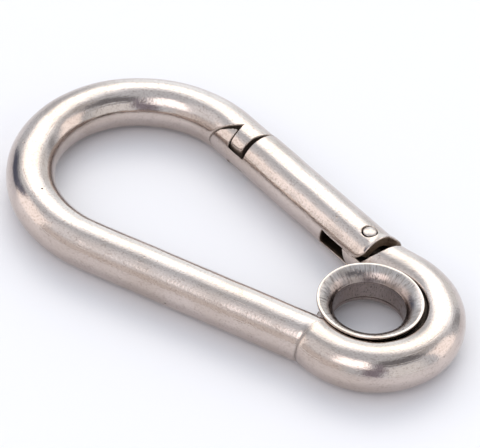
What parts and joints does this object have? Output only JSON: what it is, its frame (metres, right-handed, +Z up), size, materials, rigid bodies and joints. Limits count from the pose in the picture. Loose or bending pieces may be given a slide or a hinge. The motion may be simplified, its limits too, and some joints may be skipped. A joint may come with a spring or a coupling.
{
  "type": "spring snap hook with eyelet",
  "caption": "Pear-shaped round-bar snap hook with a sprung gate that swings inwards, and a loose flared eyelet captive in its eye.",
  "frame": {"origin": "middle of the hook's plan, at the lowest point as it lies flat", "axes": "+X from the bow to the eye along the hook's length, +Y towards the gate, +Z up through the hook's thickness"},
  "size_m": [0.1, 0.054, 0.0099],
  "materials": {
    "body_steel": "tumbled and polished stainless steel, bright, with fine pits and soft warm tints",
    "gate_steel": "polished stainless steel with fine lengthwise polishing lines, dull in the milled cuts",
    "rivet_steel": "bright peened dome",
    "plunger_steel": "turned steel, dull and brownish inside the bore",
    "spring_steel": "drawn spring wire, dull and brownish",
    "eyelet_steel": "polished, with radial scratches on the flare, upright brushing in the throat and a bright rim"
  },
  "bodies": {
    "hook_body": {"hook_body": "body_steel"},
    "gate": {"gate": "gate_steel", "gate_rivet": "rivet_steel"},
    "plunger": {"spring_plunger": "plunger_steel", "gate_spring": "spring_steel"},
    "eyelet": {"eyelet": "eyelet_steel"}
  },
  "joints": [
    {"name": "gate_swing", "type": "hinge", "parent": "hook_body", "child": "gate", "pos_m": [0.02052, 0.01399, 0.00495], "axis": [0, 0, 1], "range_deg": [0, 35], "stiffness_Nm_per_rad": 0.3, "springref_deg": -20.05},
    {"name": "plunger_slide", "type": "slide", "parent": "gate", "child": "plunger", "axis": [-0.9806, 0.1959, 0], "range_m": [0, 0.0022], "deforming": ["gate_spring"]},
    {"name": "eyelet_spin", "type": "hinge", "parent": "hook_body", "child": "eyelet", "pos_m": [0.03182, -0.00027, 0.00495], "axis": [0, 0, 1], "continuous": true}
  ],
  "couplings": [
    {"joint": "plunger_slide", "follows": "gate_swing", "m_per_rad": 0.00352}
  ]
}
